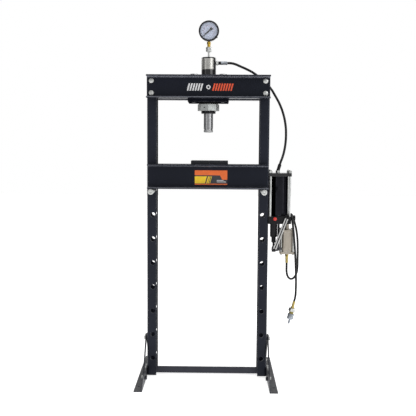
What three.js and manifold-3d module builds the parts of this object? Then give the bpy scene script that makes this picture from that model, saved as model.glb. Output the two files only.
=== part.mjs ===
// Hydraulic shop press: an H-frame of channel sections with an air / hand pump on the right upright.
// Millimetres, +Z up, floor at Z = 0. The design frame has X = 0 on the ram's centre line and the
// operator standing at -Y; the finished group is shifted so that its origin is the middle of the
// bottom of the machine's own box (the free hoses left out).
import * as THREE from 'three';
import { mergeVertices } from 'three/addons/utils/BufferGeometryUtils.js';
import Module from 'manifold-3d';

const wasm = await Module();
wasm.setup();

// ---------------------------------------------------------------- driving dimensions
const GAP = 0.3;                 // between touching pieces
const POST_IN = 253;             // inner edge of an upright's flange, from the centre line
const POST_OUT = 299;            // outer face of an upright's web
const POST_D = 50;               // half depth of an upright
const POST_T = 6;                // plate thickness of an upright
const POST_Z0 = 6, POST_Z1 = 1492;
const HOLE_X = 270.6, HOLE_R = 12, HOLE_Z1 = 935, HOLE_PITCH = 120, HOLE_ROWS = 8;
const BEAM_WEB = 6, BEAM_FLANGE = 8, BEAM_REACH = 46;
const BEAM_Y = POST_D + GAP;     // back of a beam's web
const TOP_Z0 = 1383.8, TOP_Z1 = 1495, TOP_HALF = 299.5;
const BED_Z0 = 945, BED_Z1 = 1064.5, BED_HALF = 295;
const SPACER_X = 232, SPACER_T = 8;
const TOP_BOLT_X = 277, TOP_BOLT_Z = [1468, 1410];
const FOOT_T = 5, FOOT_W = 40, FOOT_H = 50, FOOT_HALF = 286, FOOT_TAPER = 46;
const ANCHOR_Y = 218, ANCHOR_R = 7;
const FOOT_IN = POST_OUT + GAP;
const BRACE_TOP = [20, 192], BRACE_LOW = [150, 26], BRACE_W = 25, BRACE_T = 5;
const CROSS_Y = -8, CROSS_Z0 = 6.5, CROSS_H = 33, CROSS_T = 5;
const TAB_T = 5, TAB_Y = 30, TAB_TOP = 56, STUD_Y = 18, STUD_Z = 33;
const PLATE_X = 99, PLATE_Y = 92, PLATE_T = 16;
const HANGER_X = 71, HANGER_W = 50, HANGER_Z0 = 1466, HANGER_Z1 = 1491;
const CYL_R = 36, CYL_BORE = 29, CYL_Z0 = 1326, CYL_Z1 = 1586.5, CYL_ROOF = 1548, PORT_Z = 1560;
const RAM_R = 23.25, RAM_Z0 = 1238.3, SADDLE_Z0 = 1221, PISTON_Z0 = 1510, PISTON_Z1 = 1545;
const NUT_R = 53;
const GAUGE_Z = 1712.8, GAUGE_R = 50;
const PIN_R = 10.5, PIN_Z = 934.2, PIN_Y0 = -150, PIN_Y1 = 112;
const ARBOR_SPLIT = 7.6, ARBOR_L = 90, ARBOR_Y = 80, ARBOR_T = 18;
const PUMP_X = 355.5, PUMP_HALF = 55, ROD_OFF = 47, ROD_R = 5.2;
const BLOCK_Z0 = 774, BLOCK_Z1 = 811, TANK_R = 40, TANK_WALL = 3, LID_Z0 = 1008, LID_Z1 = 1024;
const BARREL_X = 327, BARREL_Y = -34, PLUNGER_PIN_Z = 643.5;
const FULCRUM_X = 351.15, FULCRUM_Z = 650;
const ARM_ANGLE = 69.3, ARM_Y0 = -72, ARM_Y1 = -56, ARM_W = 16;
const MOTOR_X = 396, MOTOR_Y = 12, MOTOR_HALF = 36, MOTOR_BOLT = 29.5, INLET_X = 398;
const PEG_Y = 14, PEG_Z = 799, PEG_R = 11.2, PEG_REACH = 27.5;
const VALVE_X = 331, VALVE_Z = 800;
const HYD_R = 6, AIR_R = 5.5;
const ORIGIN_X = (PUMP_X + PUMP_HALF + PEG_REACH - (FOOT_IN + FOOT_W)) / 2;

// ---------------------------------------------------------------- solids
// A closed geometry becomes a solid that can be joined and cut.
function solid(geometry) {
  const g = geometry.clone();
  g.deleteAttribute('normal');
  g.deleteAttribute('uv');
  const m = mergeVertices(g, 1e-3);
  return new wasm.Manifold(new wasm.Mesh({
    numProp: 3,
    vertProperties: new Float32Array(m.attributes.position.array),
    triVerts: new Uint32Array(m.index.array),
  }));
}

function geometryOf(body) {
  const m = body.getMesh();
  const g = new THREE.BufferGeometry();
  g.setAttribute('position', new THREE.BufferAttribute(new Float32Array(m.vertProperties), 3));
  g.setIndex(new THREE.BufferAttribute(new Uint32Array(m.triVerts), 1));
  g.computeVertexNormals();
  return g;
}

const join = (...parts) => parts.reduce((a, b) => a.add(b));
const cut = (body, ...tools) => tools.reduce((a, b) => a.subtract(b), body);

// A block between two corners.
function block(x0, x1, y0, y1, z0, z1) {
  const g = new THREE.BoxGeometry(x1 - x0, y1 - y0, z1 - z0);
  g.translate((x0 + x1) / 2, (y0 + y1) / 2, (z0 + z1) / 2);
  return solid(g);
}

// Turn something built along +Z so that it runs along another axis.
function along(g, axis) {
  if (axis === 'x') g.rotateY(Math.PI / 2);
  if (axis === 'y') g.rotateX(-Math.PI / 2);
  return g;
}

// A round bar from a to b along an axis; c is the other two coordinates in X, Y, Z order.
function bar(axis, a, b, r, c, sides = 14) {
  const g = new THREE.CylinderGeometry(r, r, b - a, sides);
  g.rotateX(Math.PI / 2);
  g.translate(0, 0, (a + b) / 2);
  along(g, axis);
  if (axis === 'x') g.translate(0, c[0], c[1]);
  if (axis === 'y') g.translate(c[0], 0, c[1]);
  if (axis === 'z') g.translate(c[0], c[1], 0);
  return solid(g);
}

// A hexagon head or nut, measured across its flats.
const hex = (axis, a, b, flats, c) => bar(axis, a, b, flats / Math.sqrt(3), c, 6);

// A turned piece: profile of [radius, height] pairs about the Z axis.
function turned(profile, sides = 28) {
  const g = new THREE.LatheGeometry(profile.map(([r, h]) => new THREE.Vector2(r, h)), sides);
  g.rotateX(Math.PI / 2);
  return g;
}

// A flat outline pushed along +Z from z0 to z1.
function pushed(points, z0, z1, holes = []) {
  const shape = new THREE.Shape(points.map(([x, y]) => new THREE.Vector2(x, y)));
  for (const h of holes) {
    const ring = new THREE.Path();
    ring.absarc(h[0], h[1], h[2], 0, 2 * Math.PI, true);
    shape.holes.push(ring);
  }
  const g = new THREE.ExtrudeGeometry(shape, { depth: z1 - z0, bevelEnabled: false, curveSegments: 6 });
  g.translate(0, 0, z0);
  return g;
}

// A quarter turn of points that rounds a corner: centre, radius, start angle and sweep in degrees.
function arc(cx, cy, r, from, sweep, n = 3) {
  const out = [];
  for (let i = 0; i <= n; i++) {
    const t = THREE.MathUtils.degToRad(from + (sweep * i) / n);
    out.push([cx + r * Math.cos(t), cy + r * Math.sin(t)]);
  }
  return out;
}

// Bent-plate channel: web at u = 0, flanges towards +u, v from -half to half.
function bentChannel(half, reach, t) {
  const ro = t + 3, ri = 3;
  return [
    [reach, -half], [reach, -half + t],
    ...arc(t + ri, -half + t + ri, ri, 270, -90), ...arc(t + ri, half - t - ri, ri, 180, -90),
    [reach, half - t], [reach, half],
    ...arc(ro, half - ro, ro, 90, 90), ...arc(ro, -half + ro, ro, 180, 90),
  ];
}

// Rolled channel: web at u = 0, flanges towards +u with filleted roots and rounded toes.
function rolledChannel(v0, v1, reach, web, flange) {
  const f = 6, toe = 4;
  return [
    [0, v0], [reach, v0], ...arc(reach - toe, v0 + flange - toe, toe, 0, 90, 3),
    ...arc(web + f, v0 + flange + f, f, 270, -90, 3), ...arc(web + f, v1 - flange - f, f, 180, -90, 3),
    ...arc(reach - toe, v1 - flange + toe, toe, 270, 90, 3), [reach, v1], [0, v1],
  ];
}

// ---------------------------------------------------------------- scene graph
const machine = new THREE.Group();
machine.position.x = -ORIGIN_X;

const paint = { color: 0x26262c, roughness: 0.5, metalness: 0.1 };
const black = { color: 0x17171a, roughness: 0.42, metalness: 0.15 };
const zinc = { color: 0xb9bcc0, roughness: 0.35, metalness: 0.9 };
const steel = { color: 0x9fa2a5, roughness: 0.3, metalness: 0.95 };
const brass = { color: 0xb9974f, roughness: 0.32, metalness: 0.95 };
const alloy = { color: 0xb3ad9f, roughness: 0.45, metalness: 0.8 };
const rubber = { color: 0x161616, roughness: 0.75, metalness: 0 };

function add(name, shape, look) {
  const geometry = shape.isBufferGeometry ? shape : geometryOf(shape);
  const mesh = new THREE.Mesh(geometry, new THREE.MeshStandardMaterial(look));
  mesh.name = name;
  machine.add(mesh);
  return mesh;
}

const sides = [['left', -1], ['right', 1]];
const faces = [['front', -1], ['rear', 1]];

// Mirror a solid to the -X or -Y side when the sign is negative.
function mirrored(body, sx, sy = 1) {
  let out = body;
  if (sx < 0) out = out.mirror([1, 0, 0]);
  if (sy < 0) out = out.mirror([0, 1, 0]);
  return out;
}

// ---------------------------------------------------------------- uprights
const holeRows = Array.from({ length: HOLE_ROWS }, (_, i) => HOLE_Z1 - HOLE_PITCH * i);

function upright(side) {
  const g = pushed(bentChannel(POST_D, POST_OUT - POST_IN, POST_T), POST_Z0, POST_Z1);
  g.rotateZ(Math.PI);
  g.translate(POST_OUT, 0, 0);
  let body = solid(g);
  for (const z of holeRows) body = cut(body, bar('y', -60, 60, HOLE_R, [HOLE_X, z], 16));
  for (const z of TOP_BOLT_Z) body = cut(body, bar('y', -60, 60, 6.6, [TOP_BOLT_X, z], 8));
  for (const [, s] of faces) {
    body = cut(body, bar('x', 285, 305, 5.6, [s * BRACE_TOP[0], BRACE_TOP[1]], 8));
    body = cut(body, bar('x', 285, 305, 5.6, [s * STUD_Y, STUD_Z], 8));
    if (side > 0) body = cut(body, bar('x', 285, 305, 5.6, [s * 25, (BLOCK_Z0 + BLOCK_Z1) / 2], 8));
  }
  return mirrored(body, side);
}
for (const [name, s] of sides) add(`${name}_upright`, upright(s), paint);

// ---------------------------------------------------------------- top beams and bed beams
function beam(z0, z1, half) {
  const g = pushed(rolledChannel(z0, z1, BEAM_REACH, BEAM_WEB, BEAM_FLANGE), -half, half);
  g.applyMatrix4(new THREE.Matrix4().makeBasis(
    new THREE.Vector3(0, 1, 0), new THREE.Vector3(0, 0, 1), new THREE.Vector3(1, 0, 0)));
  g.translate(0, BEAM_Y, 0);
  return solid(g);
}

for (const [name, s] of faces) {
  let top = beam(TOP_Z0, TOP_Z1, TOP_HALF);
  for (const x of [-TOP_BOLT_X, TOP_BOLT_X]) {
    for (const z of TOP_BOLT_Z) top = cut(top, bar('y', 40, 70, 6.6, [x, z], 8));
  }
  add(`top_beam_${name}`, mirrored(top, 1, s), paint);
}

function bedRear() {
  let body = beam(BED_Z0, BED_Z1, BED_HALF);
  for (const [, s] of sides) {
    const x = s * SPACER_X;
    body = join(body, block(x - SPACER_T / 2, x + SPACER_T / 2, -POST_D, BEAM_Y + 2, BED_Z0 + 10, BED_Z1 - 10));
  }
  return body;
}
add('bed_beam_front', mirrored(beam(BED_Z0, BED_Z1, BED_HALF), 1, -1), paint);
add('bed_beam_rear', bedRear(), paint);

// Two bolts on a shared backing plate hold each end of a top beam to its upright.
function topBolts() {
  const y = BEAM_Y + BEAM_WEB + GAP;
  const [zh, zl] = TOP_BOLT_Z;
  let body = block(TOP_BOLT_X - 12, TOP_BOLT_X + 12, POST_D - POST_T - GAP - 4, POST_D - POST_T - GAP, zl - 13, zh + 13);
  for (const z of TOP_BOLT_Z) {
    const c = [TOP_BOLT_X, z];
    body = join(body, bar('y', 32, y + 1, 6, c, 8), bar('y', y, y + 2.5, 12, c, 16),
      hex('y', y + 2.4, y + 9.5, 19, c), hex('y', 30, 40, 19, c));
  }
  return body;
}
for (const [side, sx] of sides) {
  for (const [face, sy] of faces) add(`top_bolts_${face}_${side}`, mirrored(topBolts(), sx, sy), zinc);
}

// ---------------------------------------------------------------- feet, braces and lower crossbar
function foot() {
  const angle = [[FOOT_IN, 0], [FOOT_IN + FOOT_W, 0], [FOOT_IN + FOOT_W, FOOT_T],
    [FOOT_IN + FOOT_T + 3, FOOT_T], [FOOT_IN + FOOT_T, FOOT_T + 3],
    [FOOT_IN + FOOT_T, FOOT_H], [FOOT_IN, FOOT_H]];
  const g = pushed(angle, -FOOT_HALF, FOOT_HALF);
  g.rotateX(Math.PI / 2);
  let body = solid(g);
  for (const [, s] of faces) {
    const taper = pushed([[FOOT_HALF + 1, FOOT_T + 3], [FOOT_HALF + 1, FOOT_H + 1],
      [FOOT_HALF - FOOT_TAPER, FOOT_H + 1], [FOOT_HALF - FOOT_TAPER, FOOT_H]], FOOT_IN - 1, FOOT_IN + FOOT_T + 4);
    taper.applyMatrix4(new THREE.Matrix4().makeBasis(
      new THREE.Vector3(0, 1, 0), new THREE.Vector3(0, 0, 1), new THREE.Vector3(1, 0, 0)));
    body = cut(body, mirrored(solid(taper), 1, s),
      bar('z', -1, FOOT_T + 1, ANCHOR_R, [FOOT_IN + 23, s * ANCHOR_Y], 14),
      bar('x', FOOT_IN - 1, FOOT_IN + FOOT_T + 1, 5.6, [s * BRACE_LOW[0], BRACE_LOW[1]], 8),
      bar('x', FOOT_IN - 1, FOOT_IN + FOOT_T + 1, 5.6, [s * STUD_Y, STUD_Z], 8));
  }
  return body;
}
for (const [name, s] of sides) add(`${name}_foot`, mirrored(foot(), s), paint);

// A flat strut from the upright's web down to the foot, with its two bolts.
function brace() {
  const x = FOOT_IN + FOOT_T + GAP;
  const [y1, z1] = BRACE_TOP, [y0, z0] = BRACE_LOW;
  const lean = THREE.MathUtils.radToDeg(Math.atan2(z1 - z0, y1 - y0));
  const outline = [...arc(y1, z1, BRACE_W / 2, lean - 90, 180, 5), ...arc(y0, z0, BRACE_W / 2, lean + 90, 180, 5)];
  const g = pushed(outline, x, x + BRACE_T);
  g.applyMatrix4(new THREE.Matrix4().makeBasis(
    new THREE.Vector3(0, 1, 0), new THREE.Vector3(0, 0, 1), new THREE.Vector3(1, 0, 0)));
  const webIn = POST_OUT - POST_T - GAP;
  return join(solid(g),
    bar('x', webIn - 8, x + 3, 5, [y1, z1], 8), hex('x', webIn - 8.5, webIn - 1.5, 17, [y1, z1]),
    bar('x', webIn - 1.6, webIn, 10, [y1, z1], 10), bar('x', POST_OUT + GAP, x + 1, 10, [y1, z1], 10),
    hex('x', x + BRACE_T - 0.5, x + BRACE_T + 6.5, 17, [y1, z1]),
    bar('x', FOOT_IN - 9, x + 3, 5, [y0, z0], 8), hex('x', FOOT_IN - 10, FOOT_IN - 1.8, 17, [y0, z0]),
    bar('x', FOOT_IN - 2, FOOT_IN - GAP, 10, [y0, z0], 10),
    hex('x', x + BRACE_T - 0.5, x + BRACE_T + 6.5, 17, [y0, z0]));
}
for (const [side, sx] of sides) {
  for (const [face, sy] of faces) add(`brace_${face}_${side}`, mirrored(brace(), sx, sy), paint);
}

// Angle bar between the uprights; each end has a tab with two studs through the web and the foot.
function crossbar() {
  const tabIn = POST_OUT - POST_T - GAP - TAB_T;
  const g = pushed([[CROSS_Y, CROSS_Z0], [CROSS_Y + CROSS_H, CROSS_Z0], [CROSS_Y + CROSS_H, CROSS_Z0 + CROSS_T],
    [CROSS_Y + CROSS_T, CROSS_Z0 + CROSS_T], [CROSS_Y + CROSS_T, CROSS_Z0 + CROSS_H],
    [CROSS_Y, CROSS_Z0 + CROSS_H]], -tabIn - 1, tabIn + 1);
  g.applyMatrix4(new THREE.Matrix4().makeBasis(
    new THREE.Vector3(0, 1, 0), new THREE.Vector3(0, 0, 1), new THREE.Vector3(1, 0, 0)));
  let end = block(tabIn, tabIn + TAB_T, -TAB_Y, TAB_Y, CROSS_Z0 + 1.5, TAB_TOP);
  const nut = FOOT_IN + FOOT_T + GAP;
  for (const [, s] of faces) {
    const c = [s * STUD_Y, STUD_Z];
    end = join(end, bar('x', tabIn + 1, nut + 3, 5, c, 8), bar('x', nut, nut + 1.8, 10, c, 10), hex('x', nut + 1.6, nut + 8, 17, c));
  }
  return join(solid(g), end, mirrored(end, -1));
}
add('lower_crossbar', crossbar(), paint);

// ---------------------------------------------------------------- ram plate and its hangers
function ramPlate() {
  const z1 = TOP_Z0 - GAP, z0 = z1 - PLATE_T;
  return cut(block(-PLATE_X, PLATE_X, -PLATE_Y, PLATE_Y, z0, z1),
    bar('z', z0 - 1, z1 + 1, CYL_R + 0.4, [0, 0], 32),
    bar('z', z0 - 1, z1 + 1, 12.4, [HANGER_X, 0], 16), bar('z', z0 - 1, z1 + 1, 12.4, [-HANGER_X, 0], 16));
}
add('ram_plate', ramPlate(), paint);

// A bar across the gap between the top beams, with the heavy bolt that hangs the ram plate.
function hanger() {
  const w = HANGER_W / 2;
  return join(block(HANGER_X - w, HANGER_X + w, -POST_D, POST_D, HANGER_Z0, HANGER_Z1),
    hex('z', HANGER_Z1 - 0.5, HANGER_Z1 + 16, 36, [HANGER_X, 0]),
    bar('z', TOP_Z0 - GAP - PLATE_T + 0.5, HANGER_Z0 + 1, 12, [HANGER_X, 0], 16));
}
for (const [name, s] of sides) add(`ram_hanger_${name}`, mirrored(hanger(), s), paint);

// ---------------------------------------------------------------- hydraulic cylinder
// Hollow from below, with an oil passage up through its thick head and a side port for the hose.
function cylinderBarrel() {
  const body = solid(turned([[CYL_BORE, CYL_Z0], [CYL_R, CYL_Z0], [CYL_R, CYL_Z1 - 2], [CYL_R - 2, CYL_Z1],
    [5.4, CYL_Z1], [5.4, CYL_Z1 - 12], [3, CYL_Z1 - 14], [3, CYL_ROOF], [CYL_BORE, CYL_ROOF], [CYL_BORE, CYL_Z0]], 32));
  return cut(body, bar('x', 1, CYL_R + 2, 5.2, [0, PORT_Z], 8));
}
add('cylinder_barrel', cylinderBarrel(), black);

// Eight-sided lock nut under the ram plate, with four radial holes for a pin spanner.
function lockNut() {
  const top = TOP_Z0 - PLATE_T - 2 * GAP;
  const z0 = CYL_Z0 + 0.2, shoulder = top - 9;
  let body = join(bar('z', z0, shoulder, NUT_R, [0, 0], 8), bar('z', shoulder - 0.5, top, 48, [0, 0], 32));
  body = cut(body, bar('z', z0 - 1, top + 1, CYL_R + GAP + 0.1, [0, 0], 32));
  for (const deg of [-112.5, -22.5, 67.5, 157.5]) {
    const g = new THREE.CylinderGeometry(3.5, 3.5, 12, 8);
    g.rotateZ(Math.PI / 2);
    g.translate(47.5, 0, (z0 + shoulder) / 2);
    g.rotateZ(THREE.MathUtils.degToRad(deg));
    body = cut(body, solid(g));
  }
  return body;
}
add('cylinder_lock_nut', lockNut(), zinc);

// Guide bush screwed into the open end of the barrel, with a flange below it.
add('cylinder_gland', turned([[RAM_R + GAP, 1313.5], [34, 1313.5], [35.5, 1315], [35.5, CYL_Z0 - GAP],
  [CYL_BORE - GAP, CYL_Z0 - GAP], [CYL_BORE - GAP, 1352], [RAM_R + GAP, 1352], [RAM_R + GAP, 1313.5]], 28), black);

// Ram: piston on top, hollow rod for the return spring.
add('ram', turned([[0, RAM_Z0], [RAM_R, RAM_Z0], [RAM_R, PISTON_Z0], [CYL_BORE - GAP, PISTON_Z0],
  [CYL_BORE - GAP, PISTON_Z1], [13, PISTON_Z1], [13, 1300], [0, 1300]], 28), steel);

// Removable saddle on the ram's nose; its working face has concentric grip grooves.
function saddle() {
  const z1 = RAM_Z0 - GAP, z0 = SADDLE_Z0;
  const profile = [[0, z0], [4, z0]];
  for (const r of [4, 11]) profile.push([r + 1.5, z0 + 2], [r + 3.5, z0 + 2], [r + 5, z0]);
  profile.push([21, z0], [22.5, z0 + 1.5], [22.5, z1], [0, z1]);
  return turned(profile, 24);
}
add('ram_saddle', saddle(), steel);

// Return spring inside the hollow ram, hung from the cylinder head.
class Helix extends THREE.Curve {
  getPoint(t, target = new THREE.Vector3()) {
    const a = t * 2 * Math.PI * 11;
    return target.set(8 * Math.cos(a), 8 * Math.sin(a), 1310 + t * 234);
  }
}
function tube(curve, r, steps, n) {
  const ring = new THREE.Shape(arc(0, 0, r, 0, 360 - 360 / n, n - 1).map(([x, y]) => new THREE.Vector2(x, y)));
  return new THREE.ExtrudeGeometry(ring, { steps, extrudePath: curve, bevelEnabled: false });
}
add('return_spring', geometryOf(solid(tube(new Helix(), 1.6, 88, 4))), steel);

// ---------------------------------------------------------------- pressure gauge
function gaugeCase() {
  const g = turned([[0, -22], [42, -22], [GAUGE_R - 3, -19], [GAUGE_R - 3, 14], [GAUGE_R, 15],
    [GAUGE_R, 21], [45, 21], [45, 9.7], [42, 9.7], [42, -18], [0, -18]], 32);
  g.rotateX(Math.PI / 2);
  g.translate(0, 0, GAUGE_Z);
  return join(cut(solid(g), bar('z', GAUGE_Z - GAUGE_R - 5, GAUGE_Z - 35, 6.4, [0, 0], 10)),
    bar('z', GAUGE_Z + GAUGE_R - 5, GAUGE_Z + GAUGE_R + 1.5, 6, [0, -8], 10));
}
add('gauge_case', gaugeCase(), black);
add('gauge_dial', bar('y', -11, -10, 44.5, [0, GAUGE_Z], 32), { color: 0xe9eef2, roughness: 0.5, metalness: 0 });
add('gauge_lens', bar('y', -19, -17.5, 44.5, [0, GAUGE_Z], 32), { color: 0xe8f0f4, roughness: 0.05, metalness: 0, transparent: true, opacity: 0.3 });

// Needle at zero, pointing down and to the left, with a round counterweight behind its pivot.
function pointer() {
  const g = pushed([[-15, -1.6], [30, -1.1], [36, 0], [30, 1.1], [-15, 1.6]], 13.4, 14.6);
  let body = join(solid(g), bar('z', 12.2, 15.6, 4, [0, 0], 10), bar('z', 13.4, 14.6, 4.6, [-15, 0], 12));
  body = body.rotate([90, 0, 0]);
  return body.rotate([0, 138, 0]).translate([0, 0, GAUGE_Z]);
}
add('gauge_pointer', pointer(), { color: 0x101010, roughness: 0.4, metalness: 0.2 });

add('gauge_stem', join(bar('z', 1662, 1674.5, 6, [0, 0], 10), hex('z', 1649, GAUGE_Z - GAUGE_R - GAP, 17, [0, 0]),
  bar('z', 1637.3, 1649.5, 8, [0, 0], 14)), brass);
add('gauge_coupling', join(bar('z', 1575, 1614.5, 5, [0, 0], 14), hex('z', 1614, 1637, 25, [0, 0])), steel);

// ---------------------------------------------------------------- bed pins and arbor plates
function bedPin() {
  const g = turned([[0, PIN_Y0 - 12], [12, PIN_Y0 - 12], [13.5, PIN_Y0 - 10.5], [13.5, PIN_Y0], [PIN_R, PIN_Y0],
    [PIN_R, PIN_Y1 - 4], [PIN_R - 4, PIN_Y1], [0, PIN_Y1]], 18);
  g.rotateX(-Math.PI / 2);
  g.translate(HOLE_X, 0, PIN_Z);
  return solid(g);
}
for (const [name, s] of sides) add(`${name}_bed_pin`, mirrored(bedPin(), s), zinc);

// Each plate has a different notch in its inner and outer edge.
function arborPlate(side) {
  const z0 = BED_Z1 + GAP;
  const inner = ARBOR_SPLIT + side * 0.2, outer = inner + side * ARBOR_L;
  const v = (edge, dir, half, deep) => [[edge, -half], [edge + dir * deep, 0], [edge, half]];
  const u = (edge, dir, half, deep) => [[edge, -half], [edge + dir * (deep - half), -half],
    ...arc(edge + dir * (deep - half), 0, half, -90, dir > 0 ? 180 : -180, 8).slice(1, -1),
    [edge + dir * (deep - half), half], [edge, half]];
  const bev = 3, y = ARBOR_Y;
  const innerNotch = side < 0 ? v(inner, -1, 20, 20) : u(inner, 1, 14, 26);
  const outerNotch = side < 0 ? u(outer, 1, 20, 30) : v(outer, -1, 26, 26);
  const outline = [[inner, -y], ...innerNotch, [inner, y], [outer - side * bev, y], [outer, y - bev],
    ...outerNotch.reverse(), [outer, -y + bev], [outer - side * bev, -y]];
  if (side < 0) outline.reverse();
  return pushed(outline.reverse(), z0, z0 + ARBOR_T);
}
for (const [name, s] of sides) add(`arbor_plate_${name}`, geometryOf(solid(arborPlate(s))), paint);

// ---------------------------------------------------------------- pump unit on the right upright
const rodSpots = [];
for (const [side, sx] of sides) for (const [face, sy] of faces) rodSpots.push([`${face}_${side}`, PUMP_X + sx * ROD_OFF, sy * ROD_OFF]);

function pumpLid() {
  let body = block(PUMP_X - PUMP_HALF, PUMP_X + PUMP_HALF, -PUMP_HALF, PUMP_HALF, LID_Z0, LID_Z1);
  for (const [, x, y] of rodSpots) body = cut(body, bar('z', LID_Z0 - 1, LID_Z1 + 1, ROD_R + 0.4, [x, y], 10));
  return body;
}
add('pump_top_plate', pumpLid(), black);
add('oil_reservoir', turned([[TANK_R - TANK_WALL, BLOCK_Z1 + GAP], [TANK_R, BLOCK_Z1 + GAP], [TANK_R, LID_Z0 - GAP],
  [TANK_R - TANK_WALL, LID_Z0 - GAP], [TANK_R - TANK_WALL, BLOCK_Z1 + GAP]], 32).translate(PUMP_X, 0, 0), black);
for (const [name, x, y] of rodSpots) {
  add(`pump_tie_rod_${name}`, join(bar('z', 792, LID_Z1 + 15, ROD_R, [x, y], 10),
    hex('z', LID_Z1 + GAP, LID_Z1 + 10, 15, [x, y])), zinc);
}

function pumpBlock() {
  let body = block(FOOT_IN, PUMP_X + PUMP_HALF, -PUMP_HALF, PUMP_HALF, BLOCK_Z0, BLOCK_Z1);
  for (const [, x, y] of rodSpots) body = cut(body, bar('z', 790, BLOCK_Z1 + 1, ROD_R + 0.4, [x, y], 10));
  for (const s of [-1, 1]) body = cut(body, bar('x', FOOT_IN - 1, 316, 5.6, [s * 25, (BLOCK_Z0 + BLOCK_Z1) / 2], 8));
  // A round peg on the block's outer face, with an end flange, that the air hose lies over.
  const end = PUMP_X + PUMP_HALF;
  body = join(body, bar('x', end - 1.5, end + PEG_REACH, PEG_R, [PEG_Y, PEG_Z], 20),
    bar('x', end + PEG_REACH - 12.5, end + PEG_REACH, 13, [PEG_Y, PEG_Z], 20));
  return cut(body, bar('y', -PUMP_HALF - 1, -30, 5.4, [VALVE_X, VALVE_Z], 10));
}
add('pump_base_block', pumpBlock(), black);

// Backing plate and two bolts inside the upright that hold the pump's base block.
function pumpMount() {
  const x = POST_OUT - POST_T - GAP, z = (BLOCK_Z0 + BLOCK_Z1) / 2;
  let body = block(x - 3, x, -38, 38, z - 12, z + 12);
  for (const s of [-1, 1]) body = join(body, bar('x', x - 1, 314, 5, [s * 25, z], 8), hex('x', x - 8, x - 2.5, 17, [s * 25, z]));
  return body;
}
add('pump_mount_bolts', pumpMount(), zinc);

// Red turn knob of the release valve, fluted, on a spindle that screws into the block.
function releaseKnob() {
  let body = bar('y', -PUMP_HALF - 14, -PUMP_HALF - GAP, 9, [0, 0], 20);
  for (let i = 0; i < 6; i++) {
    const a = (i / 6) * 2 * Math.PI;
    body = cut(body, bar('y', -PUMP_HALF - 15, -PUMP_HALF - 3, 2, [9.8 * Math.cos(a), 9.8 * Math.sin(a)], 6));
  }
  return join(body, bar('y', -PUMP_HALF - 1, -34, 5, [0, 0], 10)).translate([VALVE_X, 0, VALVE_Z]);
}
add('release_valve_knob', releaseKnob(), { color: 0xb32422, roughness: 0.4, metalness: 0 });

add('pump_barrel', turned([[8.3, 680.5], [10, 680.5], [11, 681.5], [11, 707], [18, 709.5], [18, BLOCK_Z0 - GAP],
  [8.3, BLOCK_Z0 - GAP], [8.3, 680.5]], 20).translate(BARREL_X, BARREL_Y, 0), black);

// Hand-pump plunger with a flat eye and its cross pin.
add('pump_plunger', join(bar('z', 703, 757, 8, [BARREL_X, BARREL_Y], 20), bar('z', 655, 704, 5.4, [BARREL_X, BARREL_Y], 12),
  block(BARREL_X - 9, BARREL_X + 9, BARREL_Y - 5, BARREL_Y + 5, PLUNGER_PIN_Z - 10, 660),
  bar('y', BARREL_Y - 16, BARREL_Y + 16, 5, [BARREL_X, PLUNGER_PIN_Z], 12)), black);

// Fixed bar under the block that carries the lever's pivot pin.
add('lever_fulcrum', join(block(FULCRUM_X - 5, FULCRUM_X + 5, BARREL_Y - 5, BARREL_Y + 5, FULCRUM_Z - 9, BLOCK_Z0 - GAP),
  bar('y', BARREL_Y - 16, BARREL_Y + 16, 4, [FULCRUM_X, FULCRUM_Z], 12)), black);

// Pump lever: two side plates on the pivot and the plunger pin, tied together beyond the pivot, and
// a folded arm that the removable handle tube slides over.
const TIE = [FULCRUM_X + 12, FULCRUM_Z];
const lean = THREE.MathUtils.degToRad(ARM_ANGLE);
const alongArm = (s) => [BARREL_X + s * Math.cos(lean), PLUNGER_PIN_Z + s * Math.sin(lean)];

function leverPlate(y0, y1, reach) {
  const tip = alongArm(reach);
  const side = [Math.sin(lean) * 8, -Math.cos(lean) * 8];
  const top = reach ? [[tip[0] + side[0], tip[1] + side[1]], [tip[0] - side[0], tip[1] - side[1]]] : [];
  const outline = [...arc(BARREL_X, PLUNGER_PIN_Z, 9.5, reach ? 160 : 95, reach ? 115 : 180, 7),
    ...arc(...TIE, 6, -90, 170, 6), ...top];
  const g = pushed(outline, 0, y1 - y0);
  g.rotateX(Math.PI / 2);
  g.translate(0, y1, 0);
  // The slot is taller than the pin, because the pin leaves the slot's middle line by 0.4 mm at full swing.
  const slot = join(bar('y', y0 - 1, y1 + 1, 5.9, [BARREL_X - 1.5, PLUNGER_PIN_Z], 14),
    bar('y', y0 - 1, y1 + 1, 5.9, [BARREL_X + 1.5, PLUNGER_PIN_Z], 14),
    block(BARREL_X - 1.5, BARREL_X + 1.5, y0 - 1, y1 + 1, PLUNGER_PIN_Z - 5.85, PLUNGER_PIN_Z + 5.85));
  return cut(solid(g), slot, bar('y', y0 - 1, y1 + 1, 4.35, [FULCRUM_X, FULCRUM_Z], 14));
}

// An outline across the arm (u sideways, v towards the front) pushed along it from s0 to s1.
function armPiece(outline, y, s0, s1) {
  const g = pushed(outline, s0, s1);
  const across = new THREE.Vector3(-Math.sin(lean), 0, Math.cos(lean));
  const out = new THREE.Vector3(0, -1, 0);
  const up = new THREE.Vector3(Math.cos(lean), 0, Math.sin(lean));
  g.applyMatrix4(new THREE.Matrix4().makeBasis(across, out, up));
  g.translate(BARREL_X, y, PLUNGER_PIN_Z);
  return solid(g);
}

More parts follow.
